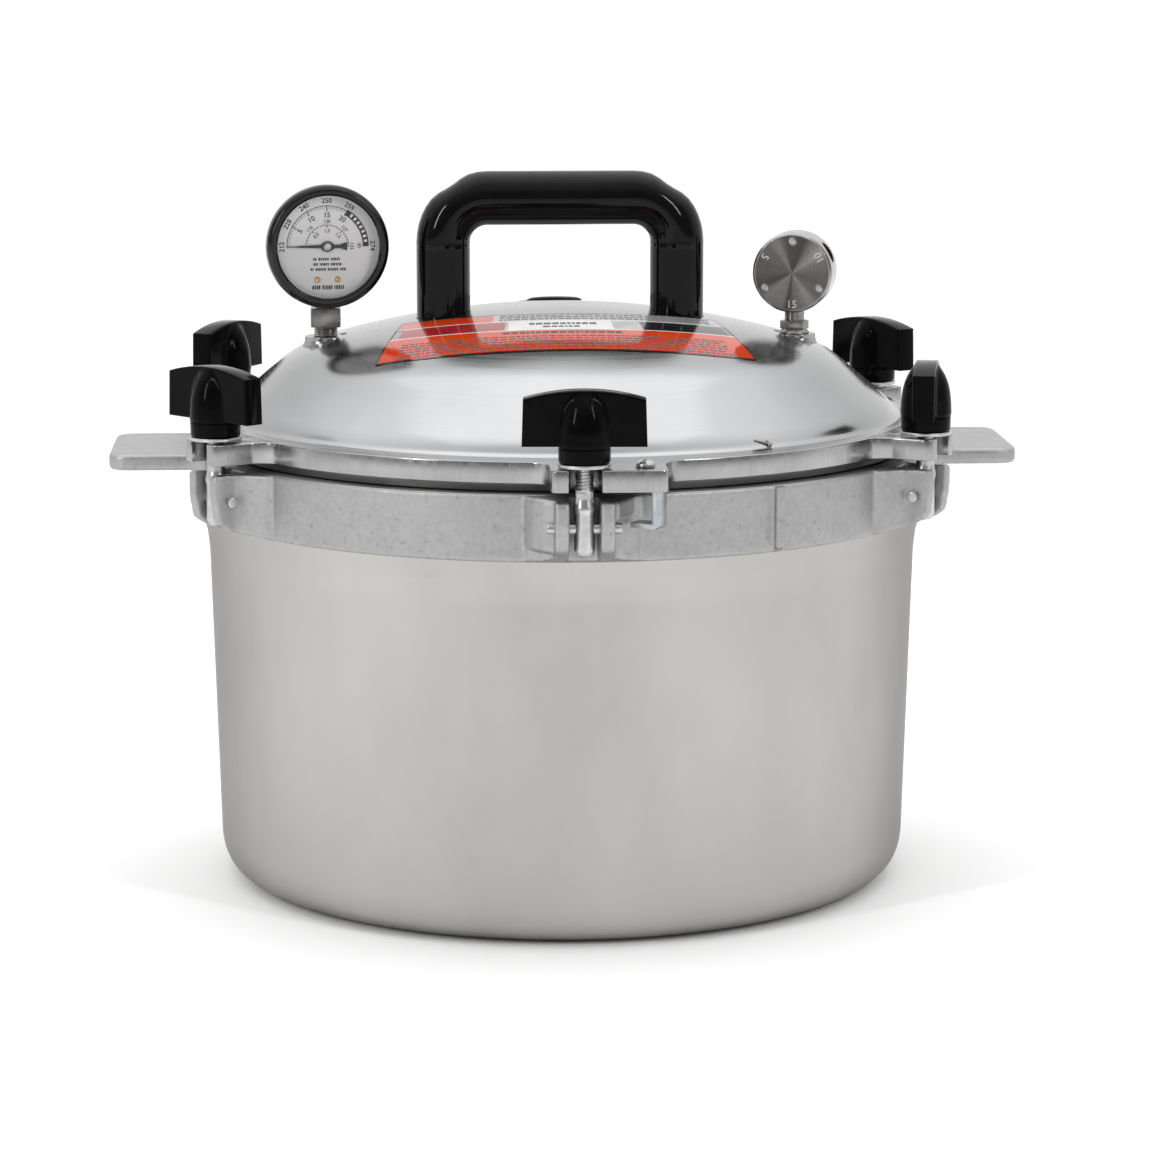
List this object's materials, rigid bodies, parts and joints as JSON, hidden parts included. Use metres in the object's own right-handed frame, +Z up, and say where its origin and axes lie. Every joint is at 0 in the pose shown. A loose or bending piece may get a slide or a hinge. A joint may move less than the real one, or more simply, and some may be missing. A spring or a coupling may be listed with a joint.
{
  "type": "pressure canner",
  "caption": "Cast-aluminium pressure canner with a bail-handled domed lid held by swing bolts and wing nuts, dial gauge, vent weight and relief plug.",
  "frame": {"origin": "centre of the flat underside of the pot", "axes": "+Z up through the lid; side tabs along X; gauge dial looks to -Y"},
  "size_m": [0.4116, 0.3826, 0.3228],
  "materials": {
    "pot_aluminium": "satin turned wall, rough cast band",
    "rack_aluminium": "mill finish",
    "lid_aluminium": "polished dome, turned flange",
    "phenolic": "moulded, glossy black",
    "bolt_steel": "turned, bright",
    "insert_steel": "plated, bright",
    "zinc_plate": "bluish zinc plate",
    "gauge_black": "gloss enamel",
    "gauge_steel": "drawn, bright",
    "gauge_glass": "clear",
    "dial_white": "printed white",
    "brass": "machined",
    "pointer_black": "matte black",
    "fitting_steel": "turned, nickel plated",
    "weight_steel": "turned stainless",
    "plug_rubber": "moulded",
    "label": "laminated film"
  },
  "bodies": {
    "pot": {"pot_body": "pot_aluminium", "canning_rack": "rack_aluminium", "hinge_pin_1": "bolt_steel", "hinge_pin_2": "bolt_steel", "hinge_pin_3": "bolt_steel", "hinge_pin_4": "bolt_steel", "hinge_pin_5": "bolt_steel", "hinge_pin_6": "bolt_steel"},
    "lid": {"lid": "lid_aluminium", "top_handle": "phenolic", "handle_screw_left": "bolt_steel", "handle_screw_right": "bolt_steel", "hold_down_hook": "zinc_plate", "hook_screw": "bolt_steel", "gauge_case": "gauge_steel", "gauge_bezel": "gauge_black", "gauge_glass": "gauge_glass", "gauge_dial": "dial_white", "dial_screw_left": "brass", "dial_screw_right": "brass", "movement_plate": "brass", "bourdon_tube": "brass", "gauge_socket": "fitting_steel", "vent_pipe": "fitting_steel"},
    "clamp_1": {"clamp_bolt_1": "bolt_steel"},
    "nut_1": {"nut_insert_1": "insert_steel"},
    "wing_1": {"wing_nut_1": "phenolic"},
    "clamp_2": {"clamp_bolt_2": "bolt_steel"},
    "nut_2": {"nut_insert_2": "insert_steel"},
    "wing_2": {"wing_nut_2": "phenolic"},
    "clamp_3": {"clamp_bolt_3": "bolt_steel"},
    "nut_3": {"nut_insert_3": "insert_steel"},
    "wing_3": {"wing_nut_3": "phenolic"},
    "clamp_4": {"clamp_bolt_4": "bolt_steel"},
    "nut_4": {"nut_insert_4": "insert_steel"},
    "wing_4": {"wing_nut_4": "phenolic"},
    "clamp_5": {"clamp_bolt_5": "bolt_steel"},
    "nut_5": {"nut_insert_5": "insert_steel"},
    "wing_5": {"wing_nut_5": "phenolic"},
    "clamp_6": {"clamp_bolt_6": "bolt_steel"},
    "nut_6": {"nut_insert_6": "insert_steel"},
    "wing_6": {"wing_nut_6": "phenolic"},
    "weight": {"regulator_weight": "weight_steel"},
    "plug": {"overpressure_plug": "plug_rubber"},
    "pointer": {"gauge_pointer": "pointer_black", "pointer_arbor": "brass"},
    "sector": {"sector_gear": "brass"}
  },
  "joints": [
    {"name": "lid_lift", "type": "slide", "parent": "pot", "child": "lid", "axis": [0, 0, 1], "range_m": [0, 0.025]},
    {"name": "bolt_swing_1", "type": "hinge", "parent": "pot", "child": "clamp_1", "pos_m": [0, -0.1796, 0.187], "axis": [1, 0, 0], "range_deg": [0, 150]},
    {"name": "nut_rise_1", "type": "slide", "parent": "clamp_1", "child": "nut_1", "axis": [0, 0, 1], "range_m": [0, 0.025]},
    {"name": "wing_turn_1", "type": "hinge", "parent": "nut_1", "child": "wing_1", "pos_m": [0, -0.1796, 0.23], "axis": [0, 0, 1], "continuous": true},
    {"name": "bolt_swing_2", "type": "hinge", "parent": "pot", "child": "clamp_2", "pos_m": [0.15554, -0.0898, 0.187], "axis": [0.5, 0.866, 0], "range_deg": [0, 150]},
    {"name": "nut_rise_2", "type": "slide", "parent": "clamp_2", "child": "nut_2", "axis": [0, 0, 1], "range_m": [0, 0.025]},
    {"name": "wing_turn_2", "type": "hinge", "parent": "nut_2", "child": "wing_2", "pos_m": [0.15554, -0.0898, 0.23], "axis": [0, 0, 1], "continuous": true},
    {"name": "bolt_swing_3", "type": "hinge", "parent": "pot", "child": "clamp_3", "pos_m": [0.15554, 0.0898, 0.187], "axis": [-0.5, 0.866, 0], "range_deg": [0, 150]},
    {"name": "nut_rise_3", "type": "slide", "parent": "clamp_3", "child": "nut_3", "axis": [0, 0, 1], "range_m": [0, 0.025]},
    {"name": "wing_turn_3", "type": "hinge", "parent": "nut_3", "child": "wing_3", "pos_m": [0.15554, 0.0898, 0.23], "axis": [0, 0, 1], "continuous": true},
    {"name": "bolt_swing_4", "type": "hinge", "parent": "pot", "child": "clamp_4", "pos_m": [0, 0.1796, 0.187], "axis": [-1, 0, 0], "range_deg": [0, 150]},
    {"name": "nut_rise_4", "type": "slide", "parent": "clamp_4", "child": "nut_4", "axis": [0, 0, 1], "range_m": [0, 0.025]},
    {"name": "wing_turn_4", "type": "hinge", "parent": "nut_4", "child": "wing_4", "pos_m": [0, 0.1796, 0.23], "axis": [0, 0, 1], "continuous": true},
    {"name": "bolt_swing_5", "type": "hinge", "parent": "pot", "child": "clamp_5", "pos_m": [-0.15554, 0.0898, 0.187], "axis": [-0.5, -0.866, 0], "range_deg": [0, 150]},
    {"name": "nut_rise_5", "type": "slide", "parent": "clamp_5", "child": "nut_5", "axis": [0, 0, 1], "range_m": [0, 0.025]},
    {"name": "wing_turn_5", "type": "hinge", "parent": "nut_5", "child": "wing_5", "pos_m": [-0.15554, 0.0898, 0.23], "axis": [0, 0, 1], "continuous": true},
    {"name": "bolt_swing_6", "type": "hinge", "parent": "pot", "child": "clamp_6", "pos_m": [-0.15554, -0.0898, 0.187], "axis": [0.5, -0.866, 0], "range_deg": [0, 150]},
    {"name": "nut_rise_6", "type": "slide", "parent": "clamp_6", "child": "nut_6", "axis": [0, 0, 1], "range_m": [0, 0.025]},
    {"name": "wing_turn_6", "type": "hinge", "parent": "nut_6", "child": "wing_6", "pos_m": [-0.15554, -0.0898, 0.23], "axis": [0, 0, 1], "continuous": true},
    {"name": "weight_lift", "type": "slide", "parent": "lid", "child": "weight", "axis": [0, 0, 1], "range_m": [0, 0.03]},
    {"name": "plug_pop", "type": "slide", "parent": "lid", "child": "plug", "axis": [0, 0.1646, 0.9864], "range_m": [0, 0.02]},
    {"name": "sector_turn", "type": "hinge", "parent": "lid", "child": "sector", "pos_m": [-0.1078, 0, 0.2795], "axis": [0.1392, -0.9903, 0], "range_deg": [0, 60]},
    {"name": "pointer_turn", "type": "hinge", "parent": "lid", "child": "pointer", "pos_m": [-0.1078, 0, 0.2895], "axis": [-0.1392, 0.9903, 0], "range_deg": [0, 180]}
  ],
  "couplings": [
    {"joint": "nut_rise_1", "follows": "lid_lift", "ratio": 1},
    {"joint": "nut_rise_2", "follows": "lid_lift", "ratio": 1},
    {"joint": "nut_rise_3", "follows": "lid_lift", "ratio": 1},
    {"joint": "nut_rise_4", "follows": "lid_lift", "ratio": 1},
    {"joint": "nut_rise_5", "follows": "lid_lift", "ratio": 1},
    {"joint": "nut_rise_6", "follows": "lid_lift", "ratio": 1},
    {"joint": "pointer_turn", "follows": "sector_turn", "ratio": 3}
  ]
}
